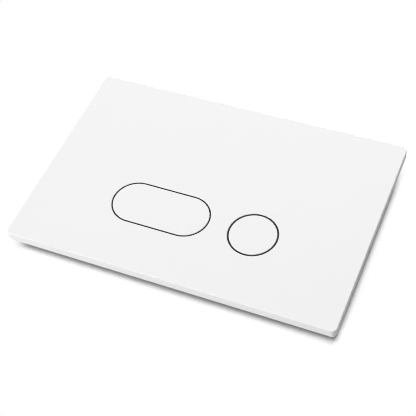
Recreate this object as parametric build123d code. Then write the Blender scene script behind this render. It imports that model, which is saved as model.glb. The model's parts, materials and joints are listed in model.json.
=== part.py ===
from build123d import *
import math
import os

# Flush button plate for a concealed cistern, in millimetres.
# X runs along the plate's long side, Y up the wall and Z out of the wall.
# Z = 0 is the wall, where the four rubber pads touch it.

# Face plate
plate_width = 246.0
plate_height = 164.0
overall_depth = 10.0
rim_depth = 6.8
rim_wall = 2.2
face_thickness = 2.3
corner_radius = 3.5
cavity_radius = 1.3
edge_radius = 0.7
gusset_thickness = 1.2
gusset_length = 5.0
gusset_pitch = 40.0
back_rib = 1.2
back_rib_height = 1.8
back_rib_gap = 3.0
back_rib_pitch = 36.0

# Openings and the buttons in them
open_row_y = -26.8
open_gap = 14.85
open_height = 36.2
open_length = 75.05
full_groove = 1.1
half_groove = 1.3
button_edge = 0.3
cap_thickness = 1.7
skirt_depth = 1.0
skirt_wall = 1.6
skirt_clearance = 0.2

# Collars of the carriers, which line the openings, and the lugs that hold the buttons in them
collar_clearance = 0.15
collar_drop = 0.25
running_gap = 0.35
lug_stop_depth = 4.6
lug_width = 9.0
lug_thickness = 1.2
lug_reach = 0.4
lug_clearance = 0.5

# Carriers behind the buttons
carrier_rear = 1.9
carrier_thickness = 1.4
carrier_gap = 0.8
carrier_corner = 6.0
sleeve_wall = 0.8
sleeve_clearance = 0.2
guide_clearance = 0.1
seat_block_length = 3.0
seat_block_width = 1.2
seat_block_height = 0.8

# Guide posts and push pins
post_diameter = 4.0
pin_diameter = 8.0
pin_end_gap = 0.6
spigot_diameter = 4.6
spigot_length = 2.4
spigot_clearance = 0.1
pin_floor_gap = 0.3

# Conical return springs
wire_diameter = 0.6
spring_turns = 3.5
spring_sides = 9
spring_seat_gap = 0.05
spring_clearance = 0.3
turn_clearance = 0.2

# Carrier screws
screw_diameter = 2.2
screw_head_diameter = 4.0
screw_head_height = 1.4
screw_hole_clearance = 0.2
screw_thread_clearance = 0.1
screw_bite = 4.4
screw_sides = 12
boss_diameter = 4.6
boss_gap = 1.6
pilot_extra = 0.5

# Mounting frame
frame_inset = 12.0
frame_web = 2.0
frame_wall = 1.8
frame_corner_radius = 5.0
opening_clearance = 4.925
opening_top = 44.0
opening_radius = 6.0
frame_rib = 1.2
frame_rib_drop = 1.4
frame_rib_x = 50.0
slot_length = 14.0
slot_width = 6.6
slot_pad_margin = 3.0
slot_pad_height = 0.8

# Rubber pads under the frame
pad_length = 24.0
pad_width = 10.0
pad_thickness = 1.0
pad_edge = 2.0

# Spring clips in the frame and the blades of the face plate
clip_y = 34.0
blade_thickness = 1.8
blade_length = 12.0
blade_end_gap = 0.6
clip_strip = 0.5
clip_width = 10.0
clip_half_span = 2.3
clip_grip_gap = 0.1
clip_flare = 0.9
clip_face_gap = 0.8
clip_shoulder = 0.3
clip_waist = 0.65
clip_pocket_clearance = 0.2
clip_pocket_wall = 1.2
clip_pocket_drop = 1.5

# Heights that follow from the sizes above
face_top = overall_depth
face_back = face_top - face_thickness
rim_back = face_top - rim_depth
cap_back = face_top - cap_thickness
skirt_end = cap_back - skirt_depth
collar_top = face_top - collar_drop
lug_stop = face_top - lug_stop_depth
carrier_front = carrier_rear + carrier_thickness
travel = skirt_end - skirt_clearance - carrier_front
sleeve_end = cap_back - travel - sleeve_clearance
frame_rear = pad_thickness
frame_front = frame_rear + frame_web
blade_end = frame_front + clip_strip + blade_end_gap
clip_height = face_back - clip_face_gap - frame_front

# The two openings side by side, centred as a pair on the plate
pair_length = open_length + open_gap + open_height
full_x = -(pair_length - open_length) / 2
half_x = (pair_length - open_height) / 2
full_centre = Pos(full_x, open_row_y, 0)
half_centre = Pos(half_x, open_row_y, 0)
full_edge = open_height / 2 - full_groove
half_edge = open_height / 2 - half_groove
lug_end = open_height / 2 - collar_clearance + lug_reach

# Posts, lugs and screw bosses round the openings
wire_radius = wire_diameter / 2
carrier_margin = (open_gap - carrier_gap) / 2
post_offset = (open_length - open_height) / 2
post_places = [-post_offset, post_offset]
full_lug_x = post_offset / 2
boss_offset = boss_gap + boss_diameter / 2
full_boss = open_height / 2 + boss_offset
half_boss = full_boss * math.cos(math.pi / 4)
full_bosses = [(-post_offset, full_boss), (post_offset, -full_boss)]
half_bosses = [(-half_boss, half_boss), (half_boss, -half_boss)]

# The frame's opening round both carriers, and the places in the frame's side bands
frame_width = plate_width - 2 * frame_inset
frame_height = plate_height - 2 * frame_inset
opening_side = pair_length / 2 + carrier_margin + opening_clearance
opening_bottom = open_height / 2 - open_row_y + carrier_margin + opening_clearance
band_x = (opening_side + frame_width / 2) / 2
pad_y = frame_height / 2 - pad_edge - pad_width / 2
clip_places = {
    "lower_left": (-band_x, -clip_y),
    "lower_right": (band_x, -clip_y),
    "upper_left": (-band_x, clip_y),
    "upper_right": (band_x, clip_y),
}
pad_places = {
    "lower_left": (-band_x, -pad_y),
    "lower_right": (band_x, -pad_y),
    "upper_left": (-band_x, pad_y),
    "upper_right": (band_x, pad_y),
}


def slab(sketch, low, high):
    """A flat outline pulled up from one height to another."""
    return extrude(Pos(0, 0, low) * sketch, high - low)


def copies(sketch, places):
    """One outline repeated at several places."""
    return Sketch() + [Pos(x, y, 0) * sketch for x, y in places]


def tube(outer, inner, low, high):
    """The wall between two outlines."""
    return slab(outer - inner, low, high)


def pill(margin):
    """The outline of the large opening, made wider by a margin all round."""
    return SlotOverall(open_length + 2 * margin, open_height + 2 * margin)


def disc(margin):
    """The outline of the round opening, made wider by a margin all round."""
    return Circle(open_height / 2 + margin)


def full_lugs(inner, outer, width, low, high):
    """Four blocks on the straight sides of the large button, between two distances from its centre line."""
    depth = outer - inner
    places = [(sx * full_lug_x, sy * (inner + depth / 2)) for sx in (-1, 1) for sy in (-1, 1)]
    return slab(copies(Rectangle(width, depth), places), low, high)


def half_lugs(inner, outer, width, low, high):
    """Four curved blocks round the round button, between two radii."""
    cross = Rectangle(2 * outer + width, width) + Rectangle(width, 2 * outer + width)
    return slab((Circle(outer) - Circle(inner)) & cross, low, high)


def face_plate():
    """Shallow tray with two openings, screw bosses, clip blades and gussets along its rim."""
    outline = RectangleRounded(plate_width, plate_height, corner_radius)
    tray = slab(outline, rim_back, face_top)
    tray = fillet(tray.faces().sort_by(Axis.Z)[-1].edges(), edge_radius)
    cavity = RectangleRounded(plate_width - 2 * rim_wall, plate_height - 2 * rim_wall, cavity_radius)
    tray -= slab(cavity, rim_back, face_back)
    tray -= full_centre * slab(pill(0), face_back, face_top)
    tray -= half_centre * slab(disc(0), face_back, face_top)
    tray = chamfer(tray.faces().sort_by(Axis.Z)[-1].inner_wires().edges(), button_edge)
    pilot = screw_diameter / 2 + screw_thread_clearance
    tip = carrier_front + screw_bite + pilot_extra
    for centre, bosses in ((full_centre, full_bosses), (half_centre, half_bosses)):
        tray += centre * slab(copies(Circle(boss_diameter / 2), bosses), carrier_front, face_back)
        tray -= centre * slab(copies(RegularPolygon(pilot, screw_sides), bosses), carrier_front, tip)
    blades = copies(Rectangle(blade_thickness, blade_length), clip_places.values())
    tray += slab(blades, blade_end, face_back)
    tray += back_ribs()
    tray += gussets()
    return tray


def back_ribs():
    """Low stiffening ribs on the back of the face, in the free part of the frame's opening."""
    right = opening_side - back_rib_gap
    top = opening_top - back_rib_gap
    low = open_row_y + open_height / 2 + carrier_margin + back_rib_gap
    middle = (low + top) / 2
    lines = [Pos(0, y, 0) * Rectangle(2 * right, back_rib) for y in (low, middle, top)]
    count = int((right - back_rib / 2) / back_rib_pitch)
    for i in range(-count, count + 1):
        lines.append(Pos(i * back_rib_pitch, middle, 0) * Rectangle(back_rib, top - low))
    return slab(Sketch() + lines, face_back - back_rib_height, face_back)


def gussets():
    """Small triangular ribs between the rim and the back of the face."""
    top = face_back
    low = rim_back + gusset_thickness
    half_w = plate_width / 2 - rim_wall
    half_h = plate_height / 2 - rim_wall
    web = Plane.XZ * make_face(Polyline((0, top), (gusset_length, top), (0, low), close=True))
    rib = extrude(web, gusset_thickness / 2, both=True)
    count_x = int((half_w - gusset_pitch / 2) / gusset_pitch)
    count_y = int((half_h - gusset_pitch / 2) / gusset_pitch)
    places = []
    for i in range(-count_y, count_y + 1):
        places.append(Pos(-half_w, i * gusset_pitch, 0))
        places.append(Pos(half_w, i * gusset_pitch, 0) * Rot(0, 0, 180))
    for i in range(-count_x, count_x + 1):
        places.append(Pos(i * gusset_pitch, -half_h, 0) * Rot(0, 0, 90))
        places.append(Pos(i * gusset_pitch, half_h, 0) * Rot(0, 0, -90))
    return [place * rib for place in places]


def cap(outline, pocket):
    """Button cap with a broken upper edge and a short skirt."""
    body = slab(outline, skirt_end, face_top)
    body = chamfer(body.faces().sort_by(Axis.Z)[-1].edges(), button_edge)
    return body - slab(pocket, skirt_end, cap_back)


def spigot():
    """Six-sided stub under the cap that the push pin is pressed onto."""
    return slab(RegularPolygon(spigot_diameter / 2, 6), cap_back - spigot_length, cap_back)


def full_flush_button():
    """Pill-shaped cap with two guide posts, a spigot and four lugs."""
    body = cap(pill(-full_groove), pill(-full_groove - skirt_wall))
    inner = full_edge - skirt_wall
    low = lug_stop - lug_thickness
    body += full_lugs(inner, full_edge, lug_width, low, cap_back)
    body += full_lugs(inner, lug_end, lug_width, low, lug_stop)
    body += spigot()
    posts = copies(Circle(post_diameter / 2), [(x, 0) for x in post_places])
    body += slab(posts, pin_end_gap, cap_back)
    return full_centre * body


def half_flush_button():
    """Round cap with a spigot and four lugs."""
    body = cap(disc(-half_groove), disc(-half_groove - skirt_wall))
    inner = half_edge - skirt_wall
    low = lug_stop - lug_thickness
    body += half_lugs(inner, half_edge, lug_width, low, cap_back)
    body += half_lugs(inner, lug_end, lug_width, low, lug_stop)
    body += spigot()
    return half_centre * body


def push_pin():
    """Pin with a socket for the cap's spigot and a flat end for the cistern's rod."""
    body = slab(Circle(pin_diameter / 2), pin_end_gap, cap_back)
    socket = RegularPolygon(spigot_diameter / 2 + spigot_clearance, 6)
    return body - slab(socket, cap_back - spigot_length - pin_floor_gap, cap_back)


def sleeve(diameter):
    """Outline of a guide sleeve round a post or pin, and of its bore."""
    bore = diameter / 2 + guide_clearance
    return Circle(bore + sleeve_wall), Circle(bore)


def spring_radii(diameter):
    """Mean radii of a spring: the small end clears its sleeve, and each turn nests in a wider one."""
    small = diameter / 2 + guide_clearance + sleeve_wall + spring_clearance + wire_radius
    return small, small + spring_turns * (wire_diameter + turn_clearance)


full_spring_radii = spring_radii(post_diameter)
half_spring_radii = spring_radii(pin_diameter)


def seat_blocks(radii):
    """Four low blocks that keep a spring's wide end in place."""
    middle = radii[1] + wire_radius + spring_clearance + seat_block_width / 2
    block = Pos(middle, 0, 0) * Rectangle(seat_block_width, seat_block_length)
    ring = Sketch() + [Rot(0, 0, turn) * block for turn in (45, 135, 225, 315)]
    return slab(ring, carrier_front, carrier_front + seat_block_height)


def screw_holes(places):
    """Clearance holes through a carrier, with as many sides as the screws."""
    hole = RegularPolygon(screw_diameter / 2 + screw_hole_clearance, screw_sides)
    return slab(copies(hole, places), carrier_rear, carrier_front)


def carrier_outline(length):
    """Rounded oblong behind an opening of some length, with the carriers' margin all round."""
    return RectangleRounded(length + 2 * carrier_margin, open_height + 2 * carrier_margin, carrier_corner)


def full_flush_carrier():
    """Plate and collar for the large button: lug windows, three guide sleeves and two spring seats."""
    plate = slab(carrier_outline(open_length), carrier_rear, carrier_front)
    plate += tube(pill(-collar_clearance), pill(running_gap - full_groove), carrier_front, collar_top)
    inner, outer = full_edge - skirt_wall - lug_clearance, lug_end + lug_clearance
    plate -= full_lugs(inner, outer, lug_width + 2 * lug_clearance, carrier_rear, lug_stop)
    stations = [(x, post_diameter) for x in post_places] + [(0, pin_diameter)]
    for x, diameter in stations:
        wall, bore = sleeve(diameter)
        plate += Pos(x, 0, 0) * slab(wall, carrier_rear, sleeve_end)
        plate -= Pos(x, 0, 0) * slab(bore, carrier_rear, sleeve_end)
    for x in post_places:
        plate += Pos(x, 0, 0) * seat_blocks(full_spring_radii)
    return full_centre * (plate - screw_holes(full_bosses))


def half_flush_carrier():
    """Plate and collar for the round button: lug windows, one guide sleeve and one spring seat."""
    plate = slab(carrier_outline(open_height), carrier_rear, carrier_front)
    plate += tube(disc(-collar_clearance), disc(running_gap - half_groove), carrier_front, collar_top)
    inner, outer = half_edge - skirt_wall - lug_clearance, lug_end + lug_clearance
    plate -= half_lugs(inner, outer, lug_width + 2 * lug_clearance, carrier_rear, lug_stop)
    wall, bore = sleeve(pin_diameter)
    plate += slab(wall, carrier_rear, sleeve_end)
    plate -= slab(bore, carrier_rear, sleeve_end)
    plate += seat_blocks(half_spring_radii)
    return half_centre * (plate - screw_holes(half_bosses))


def carrier_screw():
    """Screw without its thread: head under the carrier's rear face, shank in the face plate's boss."""
    rear = carrier_rear - screw_head_height
    head = slab(RegularPolygon(screw_head_diameter / 2, screw_sides), rear, carrier_rear)
    shank = RegularPolygon(screw_diameter / 2, screw_sides)
    return head + slab(shank, carrier_rear, carrier_front + screw_bite)


def screws(centre, places):
    """One carrier's screws, each a solid of its own."""
    return [centre * Pos(x, y, 0) * carrier_screw() for x, y in places]


def conical_spring(radii):
    """Conical wire spring that stands on the carrier, narrows by the turn and meets the back of the cap."""
    small, wide = radii
    low = carrier_front + spring_seat_gap + wire_radius
    rise = cap_back - spring_seat_gap - wire_radius - low
    steps = int(spring_turns * spring_sides)
    points = []
    for step in range(steps + 1):
        share = step / steps
        radius = wide + (small - wide) * share
        angle = 2 * math.pi * spring_turns * share
        points.append((radius * math.cos(angle), radius * math.sin(angle), low + rise * share))
    path = Polyline(*points)
    start = Plane(origin=path @ 0, z_dir=path % 0)
    return sweep(start * RegularPolygon(wire_radius, 6), path, transition=Transition.RIGHT)


def mounting_frame():
    """Open frame with outer and inner walls, cross ribs, clip pockets and slots for the fixing rods."""
    outer = RectangleRounded(frame_width, frame_height, frame_corner_radius)
    inset = frame_width - 2 * frame_wall, frame_height - 2 * frame_wall
    outer_inside = RectangleRounded(*inset, frame_corner_radius - frame_wall)
    mid = (opening_top - opening_bottom) / 2
    span = 2 * opening_side, opening_top + opening_bottom
    hole = Pos(0, mid, 0) * RectangleRounded(*span, opening_radius)
    wall_span = span[0] + 2 * frame_wall, span[1] + 2 * frame_wall
    hole_outside = Pos(0, mid, 0) * RectangleRounded(*wall_span, opening_radius + frame_wall)
    frame = tube(outer, hole, frame_rear, frame_front)
    frame += tube(outer, outer_inside, frame_front, face_back)
    frame += tube(hole_outside, hole, frame_front, face_back)
    channel = outer_inside - hole_outside
    bars = [Pos(x, 0, 0) * Rectangle(frame_rib, frame_height) for x in (-frame_rib_x, 0, frame_rib_x)]
    ribs = Sketch() + bars
    frame += slab(ribs & channel, frame_front, face_back - frame_rib_drop)
    slots = [Pos(x, 0, 0) for x in (-band_x, band_x)]
    pad = Rectangle(slot_length + 2 * slot_pad_margin, slot_width + 2 * slot_pad_margin)
    frame += [place * slab(pad, frame_front, frame_front + slot_pad_height) for place in slots]
    through = slab(SlotOverall(slot_length, slot_width), frame_rear, frame_front + slot_pad_height)
    frame -= [place * through for place in slots]
    near = clip_half_span + clip_strip / 2 + clip_pocket_clearance
    side = near + clip_pocket_wall / 2
    pocket = copies(Rectangle(clip_pocket_wall, blade_length), [(-side, 0), (side, 0)])
    pocket = slab(pocket, frame_front, face_back - clip_pocket_drop)
    frame += [Pos(x, y, 0) * pocket for x, y in clip_places.values()]
    return frame


def frame_clip():
    """Bent steel strip: a flat foot and two legs that bow inward to grip a blade and flare at the top."""
    grip = blade_thickness / 2 + clip_grip_gap + clip_strip / 2
    foot = clip_strip / 2
    half = [
        (clip_half_span, foot),
        (clip_half_span, clip_height * clip_shoulder),
        (grip, clip_height * clip_waist),
        (grip + clip_flare, clip_height),
    ]
    points = [(-x, z) for x, z in reversed(half)] + half
    strip = trace(Polyline(*points), clip_strip)
    return Pos(0, 0, frame_front) * extrude(Plane.XZ * strip, clip_width / 2, both=True)


def wall_pad():
    """Rubber pad, cut from a strip."""
    return slab(Rectangle(pad_length, pad_width), 0, pad_thickness)


def main():
    """Every piece in its place, one file for each node."""
    os.makedirs("parts", exist_ok=True)
    nodes = {
        "face_plate": face_plate(),
        "full_flush_button": full_flush_button(),
        "half_flush_button": half_flush_button(),
        "full_flush_push_pin": full_centre * push_pin(),
        "half_flush_push_pin": half_centre * push_pin(),
        "full_flush_carrier": full_flush_carrier(),
        "half_flush_carrier": half_flush_carrier(),
        "carrier_screws": Compound(screws(full_centre, full_bosses) + screws(half_centre, half_bosses)),
        "full_flush_spring_left": full_centre * Pos(-post_offset, 0, 0) * conical_spring(full_spring_radii),
        "full_flush_spring_right": full_centre * Pos(post_offset, 0, 0) * conical_spring(full_spring_radii),
        "half_flush_spring": half_centre * conical_spring(half_spring_radii),
        "mounting_frame": mounting_frame(),
    }
    for name, (x, y) in clip_places.items():
        nodes["frame_clip_" + name] = Pos(x, y, 0) * frame_clip()
    for name, (x, y) in pad_places.items():
        nodes["wall_pad_" + name] = Pos(x, y, 0) * wall_pad()
    for name, shape in nodes.items():
        export_step(shape, "parts/" + name + ".step")


main()
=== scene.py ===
"""Looks of the flush button plate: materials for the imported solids, wound springs, threaded screws,
ribbed pads, light and camera."""

import json
import math

import bpy
import numpy as np
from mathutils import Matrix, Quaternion, Vector


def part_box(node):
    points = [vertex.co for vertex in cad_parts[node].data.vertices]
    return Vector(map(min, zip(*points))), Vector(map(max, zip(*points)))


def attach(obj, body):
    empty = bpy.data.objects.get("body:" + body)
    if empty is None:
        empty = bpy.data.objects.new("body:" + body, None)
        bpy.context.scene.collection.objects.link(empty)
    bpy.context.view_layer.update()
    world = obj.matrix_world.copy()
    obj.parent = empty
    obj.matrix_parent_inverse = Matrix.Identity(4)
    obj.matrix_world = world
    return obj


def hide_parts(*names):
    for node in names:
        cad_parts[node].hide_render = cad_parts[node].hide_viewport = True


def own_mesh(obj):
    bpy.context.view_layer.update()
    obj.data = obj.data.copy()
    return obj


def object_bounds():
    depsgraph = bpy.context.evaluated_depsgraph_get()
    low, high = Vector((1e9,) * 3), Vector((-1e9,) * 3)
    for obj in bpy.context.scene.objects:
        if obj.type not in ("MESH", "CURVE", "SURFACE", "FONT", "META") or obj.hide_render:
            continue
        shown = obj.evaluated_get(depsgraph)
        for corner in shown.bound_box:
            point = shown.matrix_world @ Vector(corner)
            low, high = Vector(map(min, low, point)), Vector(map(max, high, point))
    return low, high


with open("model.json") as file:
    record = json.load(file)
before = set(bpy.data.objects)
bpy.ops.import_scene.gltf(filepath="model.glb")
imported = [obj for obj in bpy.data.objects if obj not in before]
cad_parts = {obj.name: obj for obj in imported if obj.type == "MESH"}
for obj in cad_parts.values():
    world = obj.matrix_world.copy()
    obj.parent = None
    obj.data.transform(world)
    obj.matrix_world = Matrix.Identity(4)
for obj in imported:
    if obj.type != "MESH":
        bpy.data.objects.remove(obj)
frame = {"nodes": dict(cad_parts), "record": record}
cad_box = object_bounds()

MM = 0.001

# Camera, from the plate's outline in the photograph. Angles in degrees, lengths in metres, lens and
# sensor in millimetres. The pixel filter is narrow, for the photograph's sharp lines.
AIM = Vector((0.00635, -0.01537, 0.010))
CAMERA_DISTANCE = 0.70927
CAMERA_AZIMUTH = 29.822
CAMERA_ELEVATION = 51.650
CAMERA_ROLL = -8.822
CAMERA_LENS = 86.770
CAMERA_SENSOR = 36.0
CAMERA_CLIP = 0.01
PIXEL_FILTER = 1.0

# Studio light: softboxes overhead and behind, a panel low at the back, and strips low at the front.
# Azimuth runs from the front to the right, as the camera's does. Angles in degrees, lengths in metres,
# power in watts.
LAMP_DISTANCE = 1.6
LAMP_SIZE = 0.9
STRIP_HEIGHT = 0.4
LAMPS = {
    "overhead_softbox": dict(azimuth=180.0, elevation=90.0, power=8.0),
    "back_softbox": dict(azimuth=180.0, elevation=75.0, power=12.8),
    "back_panel": dict(azimuth=180.0, elevation=25.0, power=7.0),
    "front_strip": dict(azimuth=0.0, elevation=9.0, power=5.5, height=STRIP_HEIGHT),
    "front_left_strip": dict(azimuth=315.0, elevation=9.0, power=17.0, height=STRIP_HEIGHT),
}

# Room and floor, lengths in metres. Glowing painted white covers the floor's shadow. It fades in between
# two distances from the plate's outline, which is moved by the shift for this. At two corners, where the
# shadow is to fade out, painted white covers it up to one distance from the corner, and the whole shadow
# shows from another.
ROOM_LIGHT = 0.12
FLOOR_REACH = 4.0
FLOOR_GIVES_BACK = "AAAAAA"
FLOOR_SHOWS = "FFFFFF"
FLOOR_WHITE_SHIFT = (-0.001, -0.006, 0.0)
FLOOR_WHITE_FROM = 0.002
FLOOR_WHITE_AT = 0.010
FLOOR_PAINTED_WHITE_CORNERS = {
    "front_left": dict(sides=(-1, -1), white=0.003, shadow=0.018),
    "back_right": dict(sides=(1, 1), white=0.006, shadow=0.040),
}

# What the finishes share, sizes in millimetres. A spread is how far roughness varies to either side.
PLASTIC_IOR = 1.5
PLASTIC_SPREAD = 0.05
CLOUD_SIZE = 18.0
CLOUD_DETAIL = 2.0
PIT_DETAIL = 3.0
PIT_STRENGTH = 0.4
METAL_SPREAD = 0.10
STREAK_DETAIL = 4.0
STREAK_STRENGTH = 0.3
STREAK_BUMP = 0.01

# Sizes repeated from the part, in millimetres.
CARRIER_FRONT = 3.3
CAP_BACK = 8.3
POST_OFFSET = 19.425
FULL_SCREW = (-POST_OFFSET, 22.0)
HALF_SCREW = (-15.556, 15.556)
WIRE = 0.6
SPRING_TURNS = 3.5
SPRING_GAP = 0.05
FULL_SPRING_RADII = (6.3, 3.5)
HALF_SPRING_RADII = (8.3, 5.5)
HEAD_REAR = 0.5
HEAD_FRONT = 1.9
HEAD_RADIUS = 2.0
SHANK_RADIUS = 1.1
SCREW_TIP = 7.7

# Steps of the springs' wire. Edges sharper than the angle, in degrees, stay crisp on every new piece.
SHARP_ANGLE = 50.0
SPRING_STEPS = 200
WIRE_SIDES = 12

# Heads and threads of the screws, in millimetres. The head's rows run from the middle to the edge, which
# are shares of its radius, and gather from there outwards. The thread reaches its depth at a share of the
# shank's length, and the tip ends at a share of the shank's radius.
SCREW_SIDES = 64
HEAD_ROWS = 40
HEAD_EDGE_ROWS = 12
HEAD_MIDDLE = 0.02
HEAD_EDGE = 0.93
HEAD_POWER = 3.2
SHANK_ROWS = 60
THREAD_PITCH = 0.8
THREAD_DEPTH = 0.25
THREAD_START = 0.08
TIP_LENGTH = 1.2
TIP_SHARE = 0.12

# Cross recess of the screws, in millimetres. The rise is the share of its depth that is lost from the
# middle to the reach. The other shares are of the grid's lines in an eighth of a turn, and the limits are
# sines, for the rows near the middle.
RECESS_REACH = 1.15
RECESS_HALF_WIDTH = 0.28
RECESS_CORE = 0.46
RECESS_DEPTH = 0.8
RECESS_RISE = 0.5
RECESS_SLOPE = 0.1
RECESS_END_SLOPE = 0.2
RECESS_FLOOR_SHARE = 0.375
RECESS_SIDE_SHARE = 0.125
RECESS_FOOT_LIMIT = 0.52
RECESS_BROW_LIMIT = 0.62

# Edges, corners and grooves of the pads, in millimetres.
PAD_EDGE = 0.3
PAD_CORNER = 1.5
PAD_CORNER_STEPS = 6
PAD_GROOVES = 13
PAD_GROOVE_DEPTH = 0.35
PAD_GROOVE_STEPS = 8


def linear(hex_colour):
    """An sRGB hex value as linear red, green, blue and full alpha."""
    parts = np.array([int(hex_colour[i:i + 2], 16) for i in (0, 2, 4)]) / 255
    low = parts / 12.92
    high = ((parts + 0.055) / 1.055) ** 2.4
    return (*np.where(parts <= 0.04045, low, high).tolist(), 1.0)


def add(tree, kind, settings=None, inputs=(), **links):
    """Adds one node. Settings go to its properties, or to input sockets by name or number. Inputs are
    joined to its first sockets in order, and links to the sockets they name."""
    node = tree.nodes.new(kind)
    for name, value in (settings or {}).items():
        if isinstance(name, int) or name in node.inputs:
            node.inputs[name].default_value = value
        else:
            setattr(node, name, value)
    for number, source in enumerate(inputs):
        tree.links.new(source, node.inputs[number])
    for name, source in links.items():
        tree.links.new(source, node.inputs[name.replace("_", " ")])
    return node


def new_material(name):
    """An empty material, its tree and its output node."""
    material = bpy.data.materials.new(name)
    material.use_nodes = True
    tree = material.node_tree
    tree.nodes.clear()
    return material, tree, add(tree, "ShaderNodeOutputMaterial")


def dress(piece, material):
    """Gives a piece one material in all its slots."""
    if not piece.material_slots:
        piece.data.materials.append(material)
    for slot in piece.material_slots:
        slot.material = material


def moulded(name, colour, tint, roughness, grain_mm, bump_mm, flow=(1.0, 1.0, 1.0)):
    """Moulded plastic or rubber: one pigment with a faint cloudiness drawn out along the flow, and a
    mould's fine pits, which are coarser than real ones so that they show."""
    material, tree, output = new_material(name)
    place = add(tree, "ShaderNodeTexCoord").outputs["Object"]
    drawn = add(tree, "ShaderNodeMapping", {"Scale": flow}, Vector=place)
    cloud = add(tree, "ShaderNodeTexNoise", {"Scale": 1 / (CLOUD_SIZE * MM), "Detail": CLOUD_DETAIL},
                Vector=drawn.outputs["Vector"])
    grain = add(tree, "ShaderNodeTexNoise", {"Scale": 1 / (grain_mm * MM), "Detail": PIT_DETAIL},
                Vector=place)
    pigment = add(tree, "ShaderNodeMix", {"data_type": "RGBA", "A": linear(colour), "B": linear(tint)},
                  Factor=cloud.outputs["Fac"])
    rough = add(tree, "ShaderNodeMapRange",
                {"To Min": roughness - PLASTIC_SPREAD, "To Max": roughness + PLASTIC_SPREAD},
                Value=grain.outputs["Fac"])
    bump = add(tree, "ShaderNodeBump", {"Strength": PIT_STRENGTH, "Distance": bump_mm * MM},
               Height=grain.outputs["Fac"])
    shader = add(tree, "ShaderNodeBsdfPrincipled", {"IOR": PLASTIC_IOR},
                 Base_Color=pigment.outputs["Result"], Roughness=rough.outputs["Result"],
                 Normal=bump.outputs["Normal"])
    tree.links.new(shader.outputs["BSDF"], output.inputs["Surface"])
    return material


def worked_metal(name, colour, tint, roughness, streak_mm, stretch=(1.0, 1.0, 1.0), place_name=None):
    """Drawn, rolled or plated metal: fine streaks along the way that is stretched, or an even bloom where
    none is, with colour and gloss that vary with them. They are coarser than real ones so that they show,
    and follow an attribute of the piece where one is named."""
    material, tree, output = new_material(name)
    if place_name:
        place = add(tree, "ShaderNodeAttribute", {"attribute_name": place_name}).outputs["Vector"]
    else:
        place = add(tree, "ShaderNodeTexCoord").outputs["Object"]
    drawn = add(tree, "ShaderNodeMapping", {"Scale": stretch}, Vector=place)
    streak = add(tree, "ShaderNodeTexNoise", {"Scale": 1 / (streak_mm * MM), "Detail": STREAK_DETAIL},
                 Vector=drawn.outputs["Vector"])
    bloom = add(tree, "ShaderNodeMix", {"data_type": "RGBA", "A": linear(colour), "B": linear(tint)},
                Factor=streak.outputs["Fac"])
    rough = add(tree, "ShaderNodeMapRange",
                {"To Min": roughness - METAL_SPREAD, "To Max": roughness + METAL_SPREAD},
                Value=streak.outputs["Fac"])
    bump = add(tree, "ShaderNodeBump", {"Strength": STREAK_STRENGTH, "Distance": STREAK_BUMP * MM},
               Height=streak.outputs["Fac"])
    shader = add(tree, "ShaderNodeBsdfPrincipled", {"Metallic": 1.0}, Base_Color=bloom.outputs["Result"],
                 Roughness=rough.outputs["Result"], Normal=bump.outputs["Normal"])
    tree.links.new(shader.outputs["BSDF"], output.inputs["Surface"])
    return material


def skin(name, rings):
    """A mesh over rows of rings, shape (piece, row, side, xyz), in millimetres. Each ring runs
    right-handed about the way the rows go, and the first and last ring of each piece are closed flat."""
    pieces, rows, sides, _ = rings.shape
    index = np.arange(pieces * rows * sides).reshape(pieces, rows, sides)
    turned = np.roll(index, -1, axis=2)
    quads = np.stack([index[:, :-1], turned[:, :-1], turned[:, 1:], index[:, 1:]], axis=-1)
    ends = index[:, 0, ::-1].tolist() + index[:, -1].tolist()
    mesh = bpy.data.meshes.new(name)
    mesh.from_pydata((rings.reshape(-1, 3) * MM).tolist(), [], quads.reshape(-1, 4).tolist() + ends)
    mesh.shade_smooth()
    mesh.set_sharp_from_angle(angle=math.radians(SHARP_ANGLE))
    piece = bpy.data.objects.new(name, mesh)
    bpy.context.scene.collection.objects.link(piece)
    return piece


def middle(node):
    """Middle of a CAD node's box seen from the front, in millimetres."""
    low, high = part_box(node)
    return (np.array(low) + np.array(high))[:2] / 2 / MM


def wound_spring(name, place, radii, joint):
    """Conical wire spring. The wire's middle line turns at an even rate while its radius shrinks evenly,
    and it climbs as a cycloid does, so that both end turns lie flat. The wire is a circle square to that
    line. Each point also keeps its place on the straightened wire: its length along, and its two offsets
    across."""
    share = np.linspace(0, 1, SPRING_STEPS)[:, None]
    angle = 2 * np.pi * SPRING_TURNS * share
    radius = radii[0] + (radii[1] - radii[0]) * share
    low = CARRIER_FRONT + SPRING_GAP + WIRE / 2
    high = CAP_BACK - SPRING_GAP - WIRE / 2
    climb = share - np.sin(2 * np.pi * share) / (2 * np.pi)
    spoke = np.hstack([np.cos(angle), np.sin(angle), np.zeros_like(angle)])
    line = np.array([*place, low]) + radius * spoke + climb * (0, 0, high - low)
    step = np.gradient(line, axis=0)
    along = step / np.linalg.norm(step, axis=1, keepdims=True)
    across = np.cross(along, spoke)
    across /= np.linalg.norm(across, axis=1, keepdims=True)
    outward = np.cross(across, along)
    turn = np.linspace(0, 2 * np.pi, WIRE_SIDES, endpoint=False)
    offset = WIRE / 2 * np.stack([np.cos(turn), np.sin(turn)], axis=-1)
    rings = line[:, None] + offset[:, :1] * outward[:, None] + offset[:, 1:] * across[:, None]
    piece = skin(name, rings[None])
    length = np.cumsum(np.linalg.norm(step, axis=1))
    straight = np.stack(np.broadcast_arrays(length[:, None], offset[:, 0], offset[:, 1]), axis=-1)
    kept = piece.data.attributes.new("on_wire", "FLOAT_VECTOR", "POINT")
    kept.data.foreach_set("vector", (straight * MM).ravel())
    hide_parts(name.replace("_wound", ""))
    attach(piece, "plate")
    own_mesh(piece)
    return piece


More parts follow.
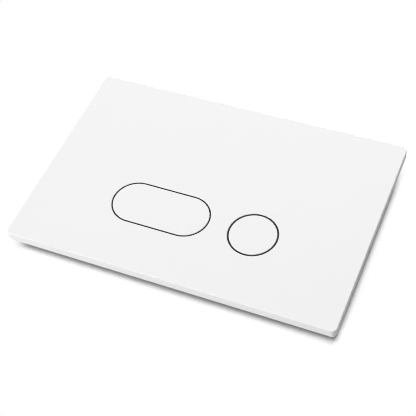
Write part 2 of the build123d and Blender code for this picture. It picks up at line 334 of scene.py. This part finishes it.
def cross_recess(x, y):
    """Depth of a cross recess: two arms at right angles and a round core where they meet. It falls off
    along straight slopes at their sides and ends, and evenly from the middle outwards."""
    def arm(u, v):
        side = np.clip((RECESS_HALF_WIDTH - np.abs(v)) / RECESS_SLOPE + 0.5, 0, 1)
        end = np.clip((RECESS_REACH - np.abs(u)) / RECESS_END_SLOPE, 0, 1)
        return side * end * (1 - RECESS_RISE * np.abs(u) / RECESS_REACH)
    out = np.hypot(x, y)
    wall = np.clip((RECESS_CORE - out) / RECESS_SLOPE + 0.5, 0, 1)
    core = wall * (1 - RECESS_RISE * out / RECESS_REACH)
    return RECESS_DEPTH * np.maximum(core, np.maximum(arm(x, y), arm(y, x)))


def along_recess(radius, turn):
    """Angles round the head, gathered so that lines of the grid follow the sides of the cross. In each
    eighth of a turn from an arm's middle, one share of the lines goes to its floor, the next to its side
    and the rest to the head. The arcsine of an offset over the radius gives the angle where floor and
    side end."""
    axis = np.round(turn / (np.pi / 2)) * np.pi / 2
    share = np.abs(turn - axis) / (np.pi / 4)
    brow_share = RECESS_FLOOR_SHARE + RECESS_SIDE_SHARE
    foot_sine = (RECESS_HALF_WIDTH - RECESS_SLOPE / 2) / radius
    brow_sine = (RECESS_HALF_WIDTH + RECESS_SLOPE / 2) / radius
    foot = np.arcsin(np.clip(foot_sine, 0, RECESS_FOOT_LIMIT))
    brow = np.arcsin(np.clip(brow_sine, 0, RECESS_BROW_LIMIT))
    floor = foot * share / RECESS_FLOOR_SHARE
    side = foot + (brow - foot) * (share - RECESS_FLOOR_SHARE) / RECESS_SIDE_SHARE
    rest = brow + (np.pi / 4 - brow) * (share - brow_share) / (1 - brow_share)
    gathered = np.where(share <= RECESS_FLOOR_SHARE, floor, np.where(share <= brow_share, side, rest))
    return axis + np.sign(turn - axis) * gathered


def carrier_screws(name, places):
    """Pan-head screws, one outline turned about each axis. The head is a superellipse with a cross recess
    sunk in it. Below it the radius follows a triangle wave that climbs one pitch a turn, which makes the
    thread, and it narrows evenly to the tip."""
    turn = np.linspace(0, 2 * np.pi, SCREW_SIDES, endpoint=False)[None, :]
    inner = np.linspace(HEAD_MIDDLE, HEAD_EDGE, HEAD_ROWS)
    outer = 1 - (1 - HEAD_EDGE) * np.linspace(1, 0, HEAD_EDGE_ROWS)[1:] ** 2
    flat = np.concatenate([inner, outer])[:, None]
    bulge = (1 - flat ** HEAD_POWER) ** (1 / HEAD_POWER)
    head_radius = HEAD_RADIUS * flat + 0 * turn
    head_turn = along_recess(head_radius, turn)
    sunk = cross_recess(head_radius * np.cos(head_turn), head_radius * np.sin(head_turn))
    head_z = HEAD_FRONT - (HEAD_FRONT - HEAD_REAR) * bulge + sunk
    drop = np.linspace(0, 1, SHANK_ROWS)[:, None]
    shank_z = HEAD_FRONT + (SCREW_TIP - HEAD_FRONT) * drop
    wave = np.abs(((shank_z / THREAD_PITCH - turn / (2 * np.pi)) % 1) * 2 - 1)
    started = np.clip(drop / THREAD_START, 0, 1)
    narrowing = np.clip((SCREW_TIP - shank_z) / TIP_LENGTH, TIP_SHARE, 1)
    shank_radius = (SHANK_RADIUS - THREAD_DEPTH * wave * started) * narrowing
    radius = np.concatenate([head_radius, shank_radius])
    height = np.concatenate([head_z, shank_z + 0 * turn])
    angle = np.concatenate([head_turn, 0 * shank_z + turn])
    one = np.stack([radius * np.cos(angle), radius * np.sin(angle), height], axis=-1)
    shift = np.array([(x, y, 0.0) for x, y in places])[:, None, None]
    piece = skin(name, one[None] + shift)
    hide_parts("carrier_screws")
    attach(piece, "plate")
    return piece


def ribbed_pad(node):
    """Moulded rubber pad, a profile carried across its width. The profile is flat on the frame's side and
    turns its edges along quarter circles. On the wall's side its height is a raised cosine squared, which
    leaves ribs. Near both ends of the path it draws in along a quarter circle, which rounds the
    corners."""
    low, high = np.array(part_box(node)) / MM
    half_length, half_width, _ = (high - low) / 2
    thick = high[2] - low[2]
    flat = half_length - PAD_EDGE
    quarter = np.linspace(0, np.pi / 2, PAD_CORNER_STEPS)
    upper = np.stack([flat + PAD_EDGE * np.sin(quarter), thick - PAD_EDGE * (1 - np.cos(quarter))], axis=-1)
    lower = np.stack([flat + PAD_EDGE * np.cos(quarter), PAD_EDGE * (1 - np.sin(quarter))], axis=-1)[:-1]
    share = np.linspace(0, 1, PAD_GROOVES * PAD_GROOVE_STEPS + 1)
    groove = (0.5 - 0.5 * np.cos(2 * np.pi * PAD_GROOVES * share)) ** 2
    ribs = np.stack([flat * (1 - 2 * share), PAD_GROOVE_DEPTH * groove], axis=-1)
    side = np.concatenate([upper, lower])
    profile = np.concatenate([side, ribs, side[::-1] * (-1, 1)])
    near = PAD_CORNER * (1 - np.cos(quarter)) - half_width
    drawn = (half_length - PAD_CORNER * (1 - np.sin(quarter))) / half_length
    across = np.concatenate([near, -near[::-1]])[:, None]
    scale = np.concatenate([drawn, drawn[::-1]])[:, None]
    rings = np.stack(np.broadcast_arrays(scale * profile[:, 0], across, profile[:, 1]), axis=-1)
    piece = skin(node + "_ribbed", rings[None] + (*(low + high)[:2] / 2, low[2]))
    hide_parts(node)
    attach(piece, "plate")
    return piece


def direction(azimuth, elevation):
    """Unit vector from the plate, for an azimuth that runs from the front to the right and an elevation."""
    turn, rise = math.radians(azimuth), math.radians(elevation)
    flat = math.cos(rise)
    return Vector((math.sin(turn) * flat, -math.cos(turn) * flat, math.sin(rise)))


def lay_light(name, azimuth, elevation, power, height=LAMP_SIZE):
    """A round or oval soft lamp on a sphere round the plate, turned towards it. It lights, but
    reflections show the white room instead, so that the face stays even at low angles too."""
    data = bpy.data.lights.new(name, "AREA")
    data.shape = "ELLIPSE"
    data.size = LAMP_SIZE
    data.size_y = height
    data.energy = power
    lamp = bpy.data.objects.new(name, data)
    lamp.location = LAMP_DISTANCE * direction(azimuth, elevation)
    lamp.rotation_euler = (-lamp.location).to_track_quat("-Z", "Y").to_euler()
    lamp.visible_glossy = False
    bpy.context.scene.collection.objects.link(lamp)


def seen_directly(tree):
    """One for rays that show the background itself: from the camera, in a reflection or through glass."""
    ray = add(tree, "ShaderNodeLightPath").outputs
    seen = add(tree, "ShaderNodeMath", {"operation": "MAXIMUM"},
               (ray["Is Camera Ray"], ray["Is Glossy Ray"]))
    either = add(tree, "ShaderNodeMath", {"operation": "MAXIMUM"},
                 (seen.outputs[0], ray["Is Transmission Ray"]))
    return either.outputs[0]


def lay_room():
    """White room: dim as a light, white where it is seen."""
    world = bpy.data.worlds.new("white_room")
    bpy.context.scene.world = world
    world.use_nodes = True
    tree = world.node_tree
    background = tree.nodes["Background"]
    background.inputs["Color"].default_value = (1.0, 1.0, 1.0, 1.0)
    strength = add(tree, "ShaderNodeMapRange", {"To Min": ROOM_LIGHT, "To Max": 1.0},
                   Value=seen_directly(tree))
    tree.links.new(strength.outputs["Result"], background.inputs["Strength"])


def lay_floor():
    """White paper floor. It takes the shadow and gives back only part of the light. A little way from the
    plate and at two of its corners, glowing painted white covers its shadow."""
    corners = FLOOR_REACH * np.array([(-1, -1, 0), (1, -1, 0), (1, 1, 0), (-1, 1, 0)], float)
    mesh = bpy.data.meshes.new("floor")
    mesh.from_pydata(corners.tolist(), [], [(0, 1, 2, 3)])
    floor = bpy.data.objects.new("floor", mesh)
    bpy.context.scene.collection.objects.link(floor)
    material, tree, output = new_material("white_paper")
    place = add(tree, "ShaderNodeTexCoord").outputs["Object"]
    half_width, half_height, _ = cad_box[1]
    moved = add(tree, "ShaderNodeVectorMath", {"operation": "SUBTRACT", 1: FLOOR_WHITE_SHIFT}, Vector=place)
    folded = add(tree, "ShaderNodeVectorMath", {"operation": "ABSOLUTE"}, Vector=moved.outputs["Vector"])
    beyond = add(tree, "ShaderNodeVectorMath", {"operation": "SUBTRACT", 1: (half_width, half_height, 0.0)},
                 Vector=folded.outputs["Vector"])
    outside = add(tree, "ShaderNodeVectorMath", {"operation": "MAXIMUM"}, Vector=beyond.outputs["Vector"])
    away = add(tree, "ShaderNodeVectorMath", {"operation": "LENGTH"}, Vector=outside.outputs["Vector"])
    # Painted white over the shadow, fading in between two distances from the moved outline.
    fade = add(tree, "ShaderNodeMapRange",
               {"interpolation_type": "SMOOTHSTEP", "From Min": FLOOR_WHITE_FROM,
                "From Max": FLOOR_WHITE_AT},
               Value=away.outputs["Value"])
    painted_white_share = fade.outputs["Result"]
    # Near two corners, painted white covers the shadow fully up to one distance and is gone by another.
    for corner in FLOOR_PAINTED_WHITE_CORNERS.values():
        point = (corner["sides"][0] * half_width, corner["sides"][1] * half_height, 0.0)
        apart = add(tree, "ShaderNodeVectorMath", {"operation": "DISTANCE", 1: point}, Vector=place)
        painted_corner_white = add(tree, "ShaderNodeMapRange",
                   {"interpolation_type": "SMOOTHSTEP", "From Min": corner["white"],
                    "From Max": corner["shadow"], "To Min": 1.0, "To Max": 0.0},
                   Value=apart.outputs["Value"])
        joined = add(tree, "ShaderNodeMath", {"operation": "MAXIMUM"}, (painted_white_share, painted_corner_white.outputs["Result"]))
        painted_white_share = joined.outputs[0]
    seen = seen_directly(tree)
    share = add(tree, "ShaderNodeMath", {"operation": "MULTIPLY"}, (painted_white_share, seen))
    shade = add(tree, "ShaderNodeMix",
                {"data_type": "RGBA", "A": linear(FLOOR_GIVES_BACK), "B": linear(FLOOR_SHOWS)}, Factor=seen)
    paper = add(tree, "ShaderNodeBsdfDiffuse", Color=shade.outputs["Result"])
    # Glowing painted white over the floor's shadow, in the share worked out above.
    white = add(tree, "ShaderNodeEmission", {"Color": (1.0, 1.0, 1.0, 1.0), "Strength": 1.0})
    both = add(tree, "ShaderNodeMixShader", None, (share.outputs[0], paper.outputs[0], white.outputs[0]))
    tree.links.new(both.outputs[0], output.inputs["Surface"])
    dress(floor, material)


def lay_camera():
    """The photograph's viewpoint."""
    away = direction(CAMERA_AZIMUTH, CAMERA_ELEVATION)
    roll = Quaternion((0, 0, 1), math.radians(CAMERA_ROLL))
    data = bpy.data.cameras.new("camera")
    data.sensor_width = CAMERA_SENSOR
    data.lens = CAMERA_LENS
    data.clip_start = CAMERA_CLIP
    camera = bpy.data.objects.new("camera", data)
    camera.rotation_mode = "QUATERNION"
    camera.rotation_quaternion = (-away).to_track_quat("-Z", "Y") @ roll
    camera.location = AIM + CAMERA_DISTANCE * away
    bpy.context.scene.collection.objects.link(camera)
    bpy.context.scene.camera = camera


bpy.context.scene.view_settings.view_transform = "Standard"
bpy.context.scene.cycles.filter_width = PIXEL_FILTER
lay_camera()
lay_room()
lay_floor()
for lamp_name, lamp in LAMPS.items():
    lay_light(lamp_name, **lamp)

# Face and buttons: satin white, almost without texture, as the photograph shows it.
white_abs = moulded("moulded_white_abs", "E8E8E8", "E7E7E7", roughness=0.45, grain_mm=0.5, bump_mm=0.005)
# Push pins: the slightly warm white of unpigmented acetal.
natural_acetal = moulded("natural_acetal", "E4E0D6", "DDD8CC", roughness=0.35, grain_mm=0.8, bump_mm=0.005)
# Carriers: near-black nylon with glass fibre, a little grey where the melt flowed. Their collars line the
# button openings, and there the black also stands in for painted shade in the gaps.
nylon_black_with_gap_shade = moulded("glass_filled_nylon_with_gap_shade", "121314", "1A1B1D", roughness=0.50, grain_mm=0.4,
                      bump_mm=0.02, flow=(0.3, 1.0, 1.0))
# Frame: mid-grey polypropylene with a waxy surface.
grey_polypropylene = moulded("grey_polypropylene", "8B8E91", "83868A", roughness=0.42, grain_mm=0.7,
                             bump_mm=0.02, flow=(0.4, 0.4, 1.0))
# Pads: dull black rubber, finely pitted.
epdm_rubber = moulded("epdm_rubber", "1C1C1D", "242425", roughness=0.85, grain_mm=0.3, bump_mm=0.05)
# Springs: bright drawn wire with streaks along it.
drawn_wire = worked_metal("drawn_stainless_wire", "C9C6C0", "A9A7A3", roughness=0.28, streak_mm=0.1,
                          stretch=(0.05, 1.0, 1.0), place_name="on_wire")
# Clips: rolled strip with its rolling streaks up the wall.
rolled_strip = worked_metal("rolled_stainless_strip", "BDBBB7", "9F9D9A", roughness=0.32, streak_mm=0.15,
                            stretch=(1.0, 0.05, 1.0))
# Screws: zinc plating with a cool, faintly blue bloom.
zinc_plated_steel = worked_metal("zinc_plated_steel", "C3C9CF", "A4ACB6", roughness=0.35, streak_mm=0.6)

full_place = middle("full_flush_push_pin")
half_place = middle("half_flush_push_pin")
full_spring = dict(radii=FULL_SPRING_RADII, joint="full_flush_press")
half_spring = dict(radii=HALF_SPRING_RADII, joint="half_flush_press")
springs = [
    wound_spring("full_flush_spring_left_wound", full_place - (POST_OFFSET, 0), **full_spring),
    wound_spring("full_flush_spring_right_wound", full_place + (POST_OFFSET, 0), **full_spring),
    wound_spring("half_flush_spring_wound", half_place, **half_spring),
]
for spring in springs:
    dress(spring, drawn_wire)

screw_places = [
    full_place + FULL_SCREW,
    full_place - FULL_SCREW,
    half_place + HALF_SCREW,
    half_place - HALF_SCREW,
]
dress(carrier_screws("carrier_screws_threaded", screw_places), zinc_plated_steel)

for corner in ("lower_left", "lower_right", "upper_left", "upper_right"):
    dress(ribbed_pad("wall_pad_" + corner), epdm_rubber)

finish_of_slot = {
    "face_plastic": white_abs,
    "pin_plastic": natural_acetal,
    # Carrier black: the part's own colour, and also painted shade in the gaps round the buttons.
    "carrier_plastic": nylon_black_with_gap_shade,
    "frame_plastic": grey_polypropylene,
    "screw_steel": zinc_plated_steel,
    "spring_steel": rolled_strip,
    "pad_rubber": epdm_rubber,
}
for subpart in frame["record"]["subparts"]:
    dress(frame["nodes"][subpart["node"]], finish_of_slot[subpart["material_slot"]])
